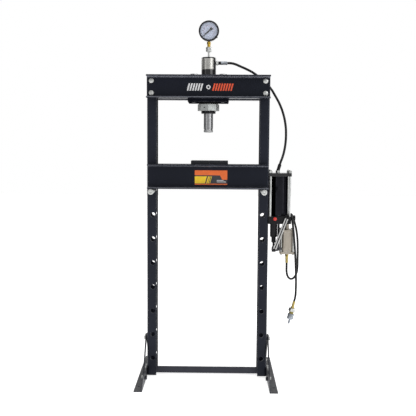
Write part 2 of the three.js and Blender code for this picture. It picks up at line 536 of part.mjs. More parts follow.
function pumpLever() {
  const h = ARM_W / 2, deep = ARM_Y1 - ARM_Y0, web = 3, flange = 5;
  const channel = [[-h, 0], [h, 0], [h, deep], [h - flange, deep], [h - flange, web], [-h + flange, web], [-h + flange, deep], [-h, deep]];
  const plateFront = BARREL_Y - 12;
  return join(armPiece(channel, ARM_Y1, 10, 170),
    armPiece([[-h, -1], [h, -1], [h, plateFront - ARM_Y1 + 1], [-h, plateFront - ARM_Y1 + 1]], plateFront, 12, 30),
    leverPlate(plateFront, plateFront + 6, 30), leverPlate(BARREL_Y + 6, BARREL_Y + 12, 0),
    bar('y', BARREL_Y - 7, BARREL_Y + 7, 4, TIE, 10));
}
add('pump_lever', pumpLever(), steel);
const leverTip = alongArm(180.3);
add('lever_end_boss', cut(bar('y', ARM_Y0, ARM_Y1 - GAP, 10, leverTip, 20), bar('y', ARM_Y0 - 1, ARM_Y0 + 8, 4.5, leverTip, 6)), black);

// ---------------------------------------------------------------- air motor under the block
// Square end caps, a body with its four corners cut off, and a through-bolt standing in each cut corner.
function roundedSquare(half, r) {
  return [...arc(half - r, half - r, r, 0, 90), ...arc(-half + r, half - r, r, 90, 90),
    ...arc(-half + r, -half + r, r, 180, 90), ...arc(half - r, -half + r, r, 270, 90)]
    .map(([x, y]) => [x + MOTOR_X, y + MOTOR_Y]);
}
function cutSquare(half, c) {
  const k = half - c;
  return [[half, -k], [half, k], [k, half], [-k, half], [-half, k], [-half, -k], [-k, -half], [k, -half]]
    .map(([x, y]) => [x + MOTOR_X, y + MOTOR_Y]);
}
add('air_motor_head', join(solid(pushed(roundedSquare(MOTOR_HALF, 7), 729.8, 741.5)),
  bar('z', 740.5, BLOCK_Z0 - GAP, 12, [MOTOR_X - 1, MOTOR_Y], 18)), alloy);
add('air_motor_body', solid(pushed(cutSquare(MOTOR_HALF - 1.5, 15), 632, 729.5, [[MOTOR_X, MOTOR_Y, 22]])), alloy);
function motorBase() {
  let body = solid(pushed(roundedSquare(MOTOR_HALF, 7), 620, 631.7));
  for (const sx of [-1, 1]) for (const sy of [-1, 1]) {
    const c = [MOTOR_X + sx * MOTOR_BOLT, MOTOR_Y + sy * MOTOR_BOLT];
    body = join(body, hex('z', 615, 621, 10, c), bar('z', 631, 729.5, 3, c, 8));
  }
  return body;
}
add('air_motor_base', motorBase(), alloy);
add('air_inlet_fitting', join(hex('z', 605, 619.7, 17, [INLET_X, MOTOR_Y]), bar('z', 573, 606, 7.5, [INLET_X, MOTOR_Y], 14)), brass);

// ---------------------------------------------------------------- hoses
add('hose_end_cylinder', join(bar('x', 28, 40, 4.5, [0, PORT_Z], 8), hex('x', CYL_R + GAP + 0.3, 61, 19, [0, PORT_Z]),
  bar('x', 60, 91, 9, [0, PORT_Z], 16)), zinc);
// The hose leaves the pump's top plate through a nut and a sleeve that leans outwards and back.
const SLEEVE_LEAN = new THREE.Vector3(0.29, 0.2, 0.936).normalize();
function leaningSleeve() {
  const g = new THREE.CylinderGeometry(8.5, 8.5, 36, 16);
  g.translate(0, 18, 0);
  g.applyQuaternion(new THREE.Quaternion().setFromUnitVectors(new THREE.Vector3(0, 1, 0), SLEEVE_LEAN));
  g.translate(346, 0, 1032);
  return solid(g);
}
add('hose_end_pump', join(hex('z', LID_Z1 + GAP, 1036, 19, [346, 0]), leaningSleeve()), zinc);

const hydRoute = [[91.4, 0, 1560], [104, 0, 1560], [118, 2.2, 1558.6], [134, 10.8, 1555], [153, 23.8, 1548.6],
  [194, 55, 1534.5], [230, 90, 1519], [272, 118, 1490], [314, 124, 1449], [335, 122, 1416], [362, 112, 1365],
  [379, 96, 1314], [388, 78, 1263], [389.5, 60, 1214], [386, 43.5, 1171], [379, 29.5, 1133], [369.5, 18.5, 1100],
  [361.2, 10.7, 1079.6], [356.6, 7.3, 1066.2]];
const airRoute = [[398, 12, 572.6], [398, 12, 553], [398, 12, 534], [402.2, 16.9, 509], [413.6, 30.3, 490.7],
  [429.2, 48.6, 484], [444.9, 66.9, 490.7], [456.3, 80.3, 509], [460.5, 85.2, 534], [461.2, 85.6, 580], [460.7, 84, 638],
  [457.4, 79.8, 690], [450.5, 71.6, 733], [441.8, 63, 766], [432.8, 55.6, 791.5], [424, 38, 810.2], [417.8, 14, 817],
  [416.9, -10, 810.2], [418.6, -27.6, 791.5], [421.8, -34, 766], [425.8, -34.4, 731], [430.2, -34.7, 685],
  [435.6, -34.5, 618], [439.6, -34.3, 541], [441.4, -34, 490], [441.4, -34, 446], [439.2, -34, 409], [434, -34, 386.1]];
const route = (points) => new THREE.CatmullRomCurve3(points.map((p) => new THREE.Vector3(...p)), false, 'centripetal');
add('hydraulic_hose', geometryOf(solid(tube(route(hydRoute), HYD_R, 28, 8))), rubber);
add('air_hose', geometryOf(solid(tube(route(airRoute), AIR_R, 52, 8))), rubber);

// The free end of the air hose hangs a little askew: brass ferrule, then the quick coupler.
function hanging(body) {
  return body.rotate([0, 13, 0]).translate([433.9, -34, 385.5]);
}
add('air_hose_ferrule', hanging(join(bar('z', -35, 0, 7, [0, 0], 14), hex('z', -35, -28, 17, [0, 0]))), brass);
add('air_coupler', hanging(join(hex('z', -58, -35.3, 31, [0, 0]), bar('z', -92, -57.5, 16, [0, 0], 18),
  bar('z', -116, -91, 5, [0, 0], 12), bar('z', -106, -102, 6.5, [0, 0], 12))), zinc);

export default machine;
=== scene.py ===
"""Look of a hydraulic shop press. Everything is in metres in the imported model's frame; the shapes
are written in millimetres from the ram's centre line and placed by at() and place()."""
import math
import bmesh
import bpy
from mathutils import Matrix, Vector


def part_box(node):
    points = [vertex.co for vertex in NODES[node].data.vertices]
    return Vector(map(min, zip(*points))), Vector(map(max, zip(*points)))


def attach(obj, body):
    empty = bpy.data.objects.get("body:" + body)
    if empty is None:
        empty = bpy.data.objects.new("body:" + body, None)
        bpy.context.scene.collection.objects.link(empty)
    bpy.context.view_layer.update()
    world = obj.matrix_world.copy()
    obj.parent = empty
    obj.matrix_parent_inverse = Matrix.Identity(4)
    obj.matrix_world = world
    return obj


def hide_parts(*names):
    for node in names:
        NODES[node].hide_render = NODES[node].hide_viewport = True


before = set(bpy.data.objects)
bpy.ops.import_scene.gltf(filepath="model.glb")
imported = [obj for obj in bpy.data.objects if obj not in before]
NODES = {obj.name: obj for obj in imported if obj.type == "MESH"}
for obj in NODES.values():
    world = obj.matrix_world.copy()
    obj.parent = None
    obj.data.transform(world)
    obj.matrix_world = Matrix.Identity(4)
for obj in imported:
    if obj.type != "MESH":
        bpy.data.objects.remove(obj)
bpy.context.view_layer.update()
MM = 0.001
CENTRE = (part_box("left_upright")[0].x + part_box("right_upright")[1].x) / 2  # the ram's centre line
scene = bpy.context.scene


def at(x, y, z):
    return Vector((CENTRE + x * MM, y * MM, z * MM))


# ---------------------------------------------------------------- camera
EYE = (54.828, -3509.43, 1133.62)  # millimetres
YAW, PITCH, ROLL = 0.0154, -0.0817, 0.0064  # radians
SENSOR_WIDTH, FOCAL_LENGTH = 36, 61.05  # millimetres


def make_camera():
    yaw, pitch, roll = YAW, PITCH, ROLL
    ahead = Vector((-math.sin(yaw) * math.cos(pitch), math.cos(yaw) * math.cos(pitch), math.sin(pitch)))
    right = Vector((math.cos(yaw), math.sin(yaw), 0))
    up = right.cross(ahead)
    r = right * math.cos(roll) + up * math.sin(roll)
    u = up * math.cos(roll) - right * math.sin(roll)
    data = bpy.data.cameras.new("view")
    data.sensor_width, data.lens = SENSOR_WIDTH, FOCAL_LENGTH
    data.clip_start, data.clip_end = 0.05, 60
    cam = bpy.data.objects.new("view", data)
    cam.matrix_world = Matrix.Translation(at(*EYE)) @ Matrix((r, u, -ahead)).transposed().to_4x4()
    scene.collection.objects.link(cam)
    scene.camera = cam


make_camera()


# ---------------------------------------------------------------- shader nodes
OBJECT_COORDINATES = 3  # outputs of the texture coordinate and geometry nodes
SURFACE_NORMAL = 1
DUST = (0.24, 0.235, 0.225, 1)
WEAR_AND_HIGHLIGHT_RADIUS = 0.0022  # metres from an edge that the paint is rubbed and lightened as a painted highlight


def node(nt, kind, out=0, props=None, **inputs):
    n = nt.nodes.new("ShaderNode" + kind)
    for k, v in (props or {}).items():
        setattr(n, k, v)
    for k, v in inputs.items():
        socket = n.inputs[int(k[1:])] if k[0] == "i" and k[1:].isdigit() else n.inputs[k.replace("_", " ")]
        if isinstance(v, bpy.types.NodeSocket):
            nt.links.new(v, socket)
        else:
            socket.default_value = v
    return n.outputs[out]


def blend(nt, factor, a, b):
    return node(nt, "Mix", 2, {"data_type": "RGBA"}, i0=factor, i6=a, i7=b)


def ranged(nt, value, lo, hi, a, b):
    return node(nt, "MapRange", Value=value, From_Min=lo, From_Max=hi, To_Min=a, To_Max=b)


def maths(nt, op, a, b=0.0):
    return node(nt, "Math", props={"operation": op}, i0=a, i1=b)


def stretched(nt, scale):
    """Object coordinates in metres, stretched so that a noise becomes streaks."""
    return node(nt, "Mapping", Vector=node(nt, "TexCoord", OBJECT_COORDINATES), Scale=scale)


def noise(nt, scale, detail=4, where=None, rough=0.55):
    where = node(nt, "TexCoord", OBJECT_COORDINATES) if where is None else where
    return node(nt, "TexNoise", 0, Vector=where, Scale=scale, Detail=detail, Roughness=rough)


def rgba(c):
    return (c[0], c[1], c[2], 1.0)


def tint(c, k):
    return (min(1, c[0] * k), min(1, c[1] * k), min(1, c[2] * k), 1.0)


def shade(nt, colour, rough, metal=0.0, mottle=0.12, mottle_scale=8.0, uneven=0.08, grain=0.1,
          grain_scale=700.0,
          streak=None, streak_depth=0.15, edge=None, edge_amount=0.5, dust=0.0, coat=0.0, coat_rough=0.15,
          specular=0.5, sheen=(1, 1, 1), pits=0.0):
    """One finish: slow mottling, uneven gloss, fine grain, and if asked streaks, edges lightened partly as wear
    and partly as a painted highlight, and dust.
    """
    c = blend(nt, ranged(nt, noise(nt, mottle_scale, 5), 0.3, 0.7, 0, 1), tint(colour, 1 - mottle),
              tint(colour, 1 + mottle))
    r = ranged(nt, noise(nt, mottle_scale * 7, 5), 0.25, 0.75, max(0.02, rough - uneven),
               min(1, rough + uneven))
    height = noise(nt, grain_scale, 3)
    if streak is not None:
        lines = noise(nt, 1.0, 3, stretched(nt, streak), 0.65)
        c = blend(nt, ranged(nt, lines, 0.35, 0.7, 0, streak_depth), c, tint(colour, 0.45))
        r = maths(nt, "ADD", r, ranged(nt, lines, 0.3, 0.7, -0.07, 0.07))
        height = maths(nt, "ADD", height, maths(nt, "MULTIPLY", lines, 0.8))
    if pits:
        spots = node(nt, "TexVoronoi", 0, Vector=node(nt, "TexCoord", OBJECT_COORDINATES),
                     Scale=grain_scale * 0.4)
        height = maths(nt, "ADD", height, ranged(nt, spots, 0.0, 0.35, -pits, 0.0))
    if dust:
        up = node(nt, "SeparateXYZ", 2, Vector=node(nt, "NewGeometry", SURFACE_NORMAL))
        film = maths(nt, "MULTIPLY", ranged(nt, up, 0.3, 1.0, 0, dust),
                     ranged(nt, noise(nt, 35, 6), 0.35, 0.7, 0.3, 1))
        c = blend(nt, film, c, DUST)
        r = maths(nt, "ADD", r, maths(nt, "MULTIPLY", film, 0.35))
    # Lighter edges: partly rubbed paint, partly a painted highlight where the edges catch the light.
    if edge is not None:
        rounded = node(nt, "Bevel", props={"samples": 4}, Radius=WEAR_AND_HIGHLIGHT_RADIUS)
        turn = node(nt, "VectorMath", 1, {"operation": "DOT_PRODUCT"}, i0=rounded,
                    i1=node(nt, "NewGeometry", SURFACE_NORMAL))
        worn_and_highlit = maths(nt, "MULTIPLY", ranged(nt, turn, 0.995, 0.86, 0, 1),
                     ranged(nt, noise(nt, 60, 6), 0.38, 0.62, 0.25, 1))
        worn_and_highlit = maths(nt, "MULTIPLY", worn_and_highlit, edge_amount)
        c = blend(nt, worn_and_highlit, c, rgba(edge))
        r = maths(nt, "SUBTRACT", r, maths(nt, "MULTIPLY", worn_and_highlit, 0.12))
    bump = node(nt, "Bump", Strength=grain, Distance=0.2 / grain_scale, Height=height)
    return node(nt, "BsdfPrincipled", Base_Color=c, Roughness=r, Metallic=metal,
                Specular_IOR_Level=specular,
                Specular_Tint=rgba(sheen), Coat_Weight=coat, Coat_Roughness=coat_rough, Normal=bump)


def finish(name, zone=None, **look):
    """A material of one finish, or of two by place on the piece, with zone=(mask maker, second look)."""
    m = bpy.data.materials.new(name)
    m.use_nodes = True
    nt = m.node_tree
    nt.nodes.clear()
    surface = shade(nt, **look)
    if zone:
        other = shade(nt, **zone[1])
        surface = node(nt, "MixShader", i0=zone[0](nt), i1=surface, i2=other)
    nt.links.new(surface, nt.nodes.new("ShaderNodeOutputMaterial").inputs[0])
    m.diffuse_color = rgba(look["colour"])
    return m


def place_mask(axis, limit, middle=0.0):
    """1 where the distance from the middle along an axis is more than limit, in metres."""
    def mask(nt):
        v = node(nt, "SeparateXYZ", axis, Vector=node(nt, "TexCoord", OBJECT_COORDINATES))
        return maths(nt, "GREATER_THAN", maths(nt, "ABSOLUTE", maths(nt, "SUBTRACT", v, middle)), limit)
    return mask


# The black paint's light edge colour is partly wear and partly a painted highlight along its edges.
PAINT = dict(colour=(0.0042, 0.0048, 0.0090), rough=0.36, mottle=0.25, mottle_scale=5, uneven=0.09,
             grain=0.3,
             grain_scale=520, edge=(0.13, 0.133, 0.15), edge_amount=0.9, dust=0.08, specular=0.20,
             sheen=(0.78, 0.85, 1.0))
ZINC = dict(colour=(0.50, 0.51, 0.50), rough=0.36, metal=1.0, mottle=0.14, mottle_scale=70, uneven=0.1,
            grain=0.15,
            grain_scale=1500, edge=(0.8, 0.8, 0.78), edge_amount=0.5)
# The ram plate's paint: a slightly darker copy without reflections, painted shade under the top beam.
painted_shade_paint = finish("shaded_paint", **{**PAINT, "colour": (0.004, 0.0044, 0.007), "rough": 0.7,
                                        "specular": 0.0, "dust": 0.0})
# The feet's paint is the lightest copy of the black paint: painted light from the white floor, with more dust.
floor_lit_paint = finish("floor_lit_charcoal_paint", **{**PAINT, "colour": (0.038, 0.0385, 0.044), "rough": 0.46,
                                            "dust": 0.25})
plate_paint = finish("rubbed_black_plate", **{**PAINT, "colour": (0.012, 0.012, 0.0135), "rough": 0.5,
                                              "edge_amount": 0.9,
                     "streak": (260, 30, 260), "streak_depth": 0.3})
gloss = finish("gloss_black", colour=(0.004, 0.004, 0.0055), rough=0.20, mottle=0.3, mottle_scale=9,
               uneven=0.05,
               grain=0.10, grain_scale=300, coat=0.2, coat_rough=0.08, dust=0.04, edge=(0.06, 0.06, 0.07),
               edge_amount=0.5)
tank_black = finish("tank_black", colour=(0.015, 0.0152, 0.019), rough=0.24, metal=1.0, mottle=0.3,
                    mottle_scale=9, uneven=0.06,
                    grain=0.2, grain_scale=500, dust=0.04, edge=(0.06, 0.06, 0.07), sheen=(0.1, 0.1, 0.11))
cast_black = finish("cast_black", colour=(0.0035, 0.0036, 0.0050), rough=0.40, mottle=0.25,
                    mottle_scale=30, grain=0.5,
                    grain_scale=900, pits=0.6, edge=(0.04, 0.04, 0.045), edge_amount=0.6, dust=0.05,
                    specular=0.2)
zinc = finish("zinc_plate", **ZINC)
zinc_dull = finish("zinc_dull", **{**ZINC, "colour": (0.28, 0.305, 0.34), "rough": 0.40})
steel = finish("turned_steel", colour=(0.42, 0.425, 0.43), rough=0.27, metal=1.0, mottle=0.12,
               mottle_scale=20, uneven=0.08,
               grain=0.12, grain_scale=1200, streak=(40, 40, 1500), streak_depth=0.25, edge=(0.7, 0.7, 0.7))
rod_steel = finish("plated_rod", colour=(0.31, 0.313, 0.32), rough=0.27, metal=1.0, mottle=0.06,
                   mottle_scale=15, uneven=0.04,
                   grain=0.05, grain_scale=1500, edge=(0.75, 0.75, 0.75))
PRESSED = dict(colour=(0.50, 0.50, 0.495), rough=0.30, metal=1.0, mottle=0.18, mottle_scale=45, uneven=0.1,
               grain=0.12, grain_scale=1300, streak=(500, 500, 60), streak_depth=0.3, edge=(0.8, 0.8, 0.78))
brass = finish("brass", colour=(0.44, 0.29, 0.045), rough=0.30, metal=1.0, mottle=0.14, mottle_scale=60,
               uneven=0.08,
               grain=0.12, grain_scale=1300, streak=(60, 60, 1500), streak_depth=0.25,
               edge=(0.62, 0.46, 0.14))
pale_brass = finish("pale_brass", colour=(0.42, 0.33, 0.115), rough=0.33, metal=1.0, mottle=0.14,
                    mottle_scale=60, uneven=0.08,
                    grain=0.12, grain_scale=1300, streak=(60, 60, 1500), streak_depth=0.2,
                    edge=(0.62, 0.5, 0.2))
dark_brass = finish("dark_brass", colour=(0.20, 0.17, 0.06), rough=0.35, metal=1.0, mottle=0.2,
                    mottle_scale=80, grain=0.1)
alloy = finish("cast_alloy", colour=(0.36, 0.325, 0.275), rough=0.42, metal=0.85, mottle=0.10,
               mottle_scale=30, uneven=0.08,
               grain=0.45, grain_scale=1100, pits=0.35, streak=(300, 300, 14), streak_depth=0.18,
               edge=(0.78, 0.76, 0.7), edge_amount=0.6)
rubber = finish("hose_rubber", colour=(0.006, 0.006, 0.0075), rough=0.55, mottle=0.3, mottle_scale=40,
                uneven=0.1, grain=0.5,
                grain_scale=1600, streak=(900, 900, 90), streak_depth=0.4, specular=0.3)
red = finish("red_plastic", colour=(0.47, 0.018, 0.012), rough=0.33, mottle=0.1, mottle_scale=80,
             grain=0.15,
             grain_scale=900, edge=(0.8, 0.15, 0.1), edge_amount=0.4)
bakelite = finish("gauge_black", colour=(0.006, 0.006, 0.008), rough=0.36, mottle=0.2, mottle_scale=30,
                  grain=0.15,
                  grain_scale=700, edge=(0.05, 0.05, 0.06), edge_amount=0.3, specular=0.35)
card = finish("dial_card", colour=(0.50, 0.545, 0.67), rough=0.5, mottle=0.04, mottle_scale=60, grain=0.1,
              grain_scale=2500)
ink = finish("dial_ink", colour=(0.25, 0.27, 0.33), rough=0.5, mottle=0.15, mottle_scale=300, grain=0.1)
ink_red = finish("dial_ink_red", colour=(0.45, 0.14, 0.17), rough=0.5, mottle=0.15, mottle_scale=300,
                 grain=0.1)
needle = finish("needle_black", colour=(0.004, 0.004, 0.005), rough=0.5, mottle=0.2, mottle_scale=90,
                grain=0.1)
foil = finish("silver_foil", colour=(0.46, 0.455, 0.43), rough=0.33, metal=0.9, mottle=0.1,
              mottle_scale=50, uneven=0.08,
              grain=0.18, grain_scale=900, streak=(900, 900, 12), streak_depth=0.35)
film_white = finish("film_white", colour=(0.62, 0.62, 0.63), rough=0.4, mottle=0.06, mottle_scale=60,
                    grain=0.1)
film_orange = finish("film_orange", colour=(0.66, 0.115, 0.012), rough=0.45, mottle=0.08, mottle_scale=60,
                     grain=0.1)
film_red = finish("film_red_orange", colour=(0.66, 0.075, 0.022), rough=0.38, mottle=0.08, mottle_scale=60,
                  grain=0.1)
film_yellow = finish("film_yellow", colour=(0.74, 0.50, 0.006), rough=0.45, mottle=0.06, mottle_scale=60,
                     grain=0.1)
film_dark = finish("film_dark", colour=(0.020, 0.021, 0.026), rough=0.34, mottle=0.2, mottle_scale=40,
                   grain=0.1)


def clear_glass():
    m = bpy.data.materials.new("clear_glass")
    m.use_nodes = True
    nt = m.node_tree
    nt.nodes.clear()
    smear = ranged(nt, noise(nt, 40, 4), 0.4, 0.7, 0.02, 0.09)
    alpha = maths(nt, "ADD", maths(nt, "MULTIPLY", node(nt, "Fresnel", IOR=1.5), 0.6), 0.02)
    surface = node(nt, "BsdfPrincipled", Base_Color=(0.92, 0.95, 0.97, 1), Roughness=smear, Alpha=alpha,
                   IOR=1.5)
    nt.links.new(surface, nt.nodes.new("ShaderNodeOutputMaterial").inputs[0])
    m.diffuse_color = (0.9, 0.95, 1, 0.2)
    return m


glass = clear_glass()


# ---------------------------------------------------------------- mesh kit (millimetres, local +Z along the part)
def place(x, y, z, axis="z", spin=0.0):
    """The matrix of a part whose own +Z runs along an axis of the frame, spun about it in degrees."""
    turn = {"z": Matrix(), "-z": Matrix.Rotation(math.pi, 4, "X"),
            "y": Matrix.Rotation(-math.pi / 2, 4, "X"), "-y": Matrix.Rotation(math.pi / 2, 4, "X"),
            "x": Matrix.Rotation(math.pi / 2, 4, "Y")}[axis]
    return Matrix.Translation(at(x, y, z)) @ turn @ Matrix.Rotation(math.radians(spin), 4,
                                                                    "Z") @ Matrix.Scale(MM, 4)


def arc(cx, cy, r, start, sweep, n=8):
    return [(cx + r * math.cos(math.radians(start + sweep * i / n)),
             cy + r * math.sin(math.radians(start + sweep * i / n)))
            for i in range(n + 1)]


def rect(x0, y0, x1, y1):
    return [(x0, y0), (x1, y0), (x1, y1), (x0, y1)]


def rounded_box(w, d, r, n=5):
    """Outline of a rectangle of half sizes w and d with rounded corners."""
    return (arc(w - r, d - r, r, 0, 90, n) + arc(-w + r, d - r, r, 90, 90, n)
            + arc(-w + r, -d + r, r, 180, 90, n) + arc(w - r, -d + r, r, 270, 90, n))


class Piece:
    """One mesh built from closed shells, each with its own finish."""

    def __init__(self, name, body, slot, look, *stands_for, smooth=32):
        self.name, self.body, self.slot, self.nodes, self.smooth = name, body, slot, stands_for, smooth
        self.bm, self.looks, self.i = bmesh.new(), [look], 0

    def use(self, look):
        if look not in self.looks:
            self.looks.append(look)
        self.i = self.looks.index(look)
        return self

    def skin(self, rings, closed, caps):
        """Joins rings of points into a shell. closed: the last ring joins the first. caps: flat ends."""
        faces, bm = [], self.bm
        loops = [[bm.verts.new(p) for p in ring] for ring in rings]
        pairs = list(zip(loops, loops[1:])) + ([(loops[-1], loops[0])] if closed else [])
        for a, b in pairs:
            n = max(len(a), len(b))
            for i in range(n):
                quad = [a[i % len(a)], a[(i + 1) % len(a)], b[(i + 1) % len(b)], b[i % len(b)]]
                unique = list(dict.fromkeys(quad))
                if len(unique) > 2:
                    faces.append(bm.faces.new(unique))
        if caps:
            for loop in (loops[0], loops[-1]):
                if len(loop) > 2:
                    faces.append(bm.faces.new(loop))
        for f in faces:
            f.material_index = self.i
        return self

    def turned(self, m, profile, sides=56, flute=None):
        """Turned about local Z. A profile that doesn't start and end on the axis closes into a ring."""
        rings = []
        for k, (r, z) in enumerate(profile):
            if r == 0:
                rings.append([m @ Vector((0, 0, z))])
                continue
            ring = []
            for i in range(sides):
                t = 2 * math.pi * i / sides
                rr = r + (flute(k, i) if flute else 0)
                ring.append(m @ Vector((rr * math.cos(t), rr * math.sin(t), z)))
            rings.append(ring)
        return self.skin(rings, profile[0][0] != 0 or profile[-1][0] != 0, False)

    def prism(self, m, outline, z0, z1, chamfer=0.0):
        """A flat outline pushed along local Z, with an optional chamfer at both ends."""
        cx = sum(p[0] for p in outline) / len(outline)
        cy = sum(p[1] for p in outline) / len(outline)
        size = max(math.hypot(x - cx, y - cy) for x, y in outline)

        def ring(z, c):
            k = 1 - c / size
            return [m @ Vector((cx + (x - cx) * k, cy + (y - cy) * k, z)) for x, y in outline]
        rings = [ring(z0, 0), ring(z1, 0)]
        if chamfer:
            rings = [ring(z0, chamfer), ring(z0 + chamfer, 0), ring(z1 - chamfer, 0), ring(z1, chamfer)]
        return self.skin(rings, False, True)

    def hexagon(self, m, z0, z1, flats, top=True, bottom=False, sides=24):
        """A hexagon head or nut whose corners are cut back by a cone at its free ends."""
        rc, cone_slope = flats / 2 * 0.95, 0.55
        circle, cut, level = 0, 1, 0.0001  # a ring inside the flats, the cut corners, the full hexagon

        def hex_r(i):
            return flats / 2 / math.cos(math.radians((360 * i / sides) % 60 - 30))

        def ring(kind, z):
            out = []
            for i in range(sides):
                t, rr = 2 * math.pi * i / sides, hex_r(i)
                if kind == circle:
                    out.append(m @ Vector((rc * math.cos(t), rc * math.sin(t), z)))
                else:
                    out.append(m @ Vector((rr * math.cos(t), rr * math.sin(t),
                                           z - kind * (rr - rc) * cone_slope)))
            return out
        rings = [ring(circle, z0), ring(-cut, z0)] if bottom else [ring(level, z0)]
        rings += [ring(cut, z1), ring(circle, z1)] if top else [ring(level, z1)]
        return self.skin(rings, False, True)

    def washer(self, m, z0, z1, r):
        c = min(0.5, (z1 - z0) * 0.3)
        return self.turned(m, [(0, z0), (r - c, z0), (r, z0 + c), (r, z1 - c), (r - c, z1), (0, z1)], 40)

    def thread(self, m, z0, z1, r, pitch=1.5, depth=0.7, sides=28):
        """A rod end with thread crests, drawn as closed rings."""
        profile, z = [(0, z0), (r - depth, z0)], z0 + pitch / 2
        while z < z1 - pitch:
            profile += [(r, z), (r - depth, z + pitch / 2)]
            z += pitch
        return self.turned(m, profile + [(r - depth, z1), (0, z1)], sides)

    def done(self):
        bmesh.ops.recalc_face_normals(self.bm, faces=self.bm.faces)
        mesh = bpy.data.meshes.new(self.name)
        self.bm.to_mesh(mesh)
        self.bm.free()
        for look in self.looks:
            mesh.materials.append(look)
        mesh.polygons.foreach_set("use_smooth", [True] * len(mesh.polygons))
        mesh.set_sharp_from_angle(angle=math.radians(self.smooth))
        obj = bpy.data.objects.new(self.name, mesh)
        scene.collection.objects.link(obj)
        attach(obj, self.body)
        if self.nodes:
            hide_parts(*self.nodes)
        return obj


# A face is folded where its triangles cover more than its own area, beyond rounding.
FOLD_SHARE, FOLD_AREA = 1.002, 3e-7  # a share, and square metres
WELD_DISTANCE = 0.00002  # metres
FLAT_ANGLE, SHARP_ANGLE = 0.5, 40  # degrees
BEVEL_SHARES = (1, 0.5, 0.25)


def folded(obj):
    """True if a face overlaps itself, as where the softened edges of a thin wall run into each other."""
    seen = obj.evaluated_get(bpy.context.evaluated_depsgraph_get())
    mesh = seen.to_mesh()
    mesh.calc_loop_triangles()
    covered = [0.0] * len(mesh.polygons)
    for t in mesh.loop_triangles:
        covered[t.polygon_index] += t.area
    found = any(covered[f.index] > f.area * FOLD_SHARE + FOLD_AREA for f in mesh.polygons)
    seen.to_mesh_clear()
    return found


def keep(name, look, bevel):
    """A CAD node that stays, with its finish, and its edges softened as far as its walls allow.
    Where no width fits, its edges stay sharp."""
    obj = NODES[name]
    obj.data.materials.clear()
    obj.data.materials.append(look)
    if not bevel:
        return
    w = obj.modifiers.new("weld", "WELD")
    w.merge_threshold = WELD_DISTANCE
    d = obj.modifiers.new("planes", "DECIMATE")
    d.decimate_type, d.angle_limit = "DISSOLVE", math.radians(FLAT_ANGLE)
    b = obj.modifiers.new("soft_edges", "BEVEL")
    b.segments, b.limit_method, b.angle_limit = 2, "ANGLE", math.radians(SHARP_ANGLE)
    b.use_clamp_overlap = True
    b.miter_outer = "MITER_ARC"
    for share in BEVEL_SHARES:
        b.width = bevel * share * MM
        if not folded(obj):
            return
    obj.modifiers.clear()


# ---------------------------------------------------------------- hoses
# Routes in millimetres: from the cylinder's port to the pump, and from the inlet to the coupler.
HYD = [(91.4, 0, 1560), (104, 0, 1560), (118, 2.2, 1558.6), (134, 10.8, 1555), (153, 23.8, 1548.6),
       (194, 55, 1534.5),
       (230, 90, 1519), (272, 118, 1490), (314, 124, 1449), (335, 122, 1416), (362, 112, 1365),
       (379, 96, 1314),
       (388, 78, 1263), (389.5, 60, 1214), (386, 43.5, 1171), (379, 29.5, 1133), (369.5, 18.5, 1100),
       (361.2, 10.7, 1079.6), (356.6, 7.3, 1066.2)]
AIR = [(398, 12, 572.6), (398, 12, 553), (398, 12, 534), (402.2, 16.9, 509), (413.6, 30.3, 490.7),
       (429.2, 48.6, 484),
       (444.9, 66.9, 490.7), (456.3, 80.3, 509), (460.5, 85.2, 534), (461.2, 85.6, 580), (460.7, 84, 638),
       (457.4, 79.8, 690), (450.5, 71.6, 733), (441.8, 63, 766), (432.8, 55.6, 791.5), (424, 38, 810.2),
       (417.8, 14, 817), (416.9, -10, 810.2), (418.6, -27.6, 791.5), (421.8, -34, 766), (425.8, -34.4, 731),
       (430.2, -34.7, 685), (435.6, -34.5, 618), (439.6, -34.3, 541), (441.4, -34, 490), (441.4, -34, 446),
       (439.2, -34, 409), (434, -34, 386.1)]


def hose(name, route, radius, node_name):
    curve = bpy.data.curves.new(name, "CURVE")
    curve.dimensions, curve.bevel_depth, curve.bevel_resolution = "3D", radius * MM, 6
    curve.resolution_u, curve.use_fill_caps = 8, True
    spline = curve.splines.new("BEZIER")
    spline.bezier_points.add(len(route) - 1)
    for p, q in zip(spline.bezier_points, route):
        p.co = at(*q)
        p.handle_left_type = p.handle_right_type = "AUTO"
    obj = bpy.data.objects.new(name, curve)
    scene.collection.objects.link(obj)
    obj.data.materials.append(rubber)
    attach(obj, "frame")
    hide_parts(node_name)
    return obj


oil_hose = hose("oil_hose", HYD, 6, "hydraulic_hose")
air_hose = hose("air_line", AIR, 5.5, "air_hose")


# ---------------------------------------------------------------- the frame: kept plates and sections
LINE_HALF = 0.0012  # half the width of a painted bend highlight, in metres
LINE_ABOVE_EDGE, LINE_BELOW_EDGE = 0.0055, 0.0085  # metres in from the beam's lower and upper edge


def bend_highlights(low, high):
    """1 on the two thin lines of painted highlight where a beam's web runs into its flanges and the bends catch
    the light, at these heights in metres.
    """
    def mask(nt):
        z = node(nt, "SeparateXYZ", 2, Vector=node(nt, "TexCoord", OBJECT_COORDINATES))
        near = [maths(nt, "LESS_THAN", maths(nt, "ABSOLUTE", maths(nt, "SUBTRACT", z, line)),
                      LINE_HALF) for line in (low, high)]
        return maths(nt, "ADD", *near)
    return mask


# The beams' edges are lightened fully: a painted highlight along the flange edges, with some wear.
BEAM = {**PAINT, "edge": (0.24, 0.25, 0.29), "edge_amount": 1.0}
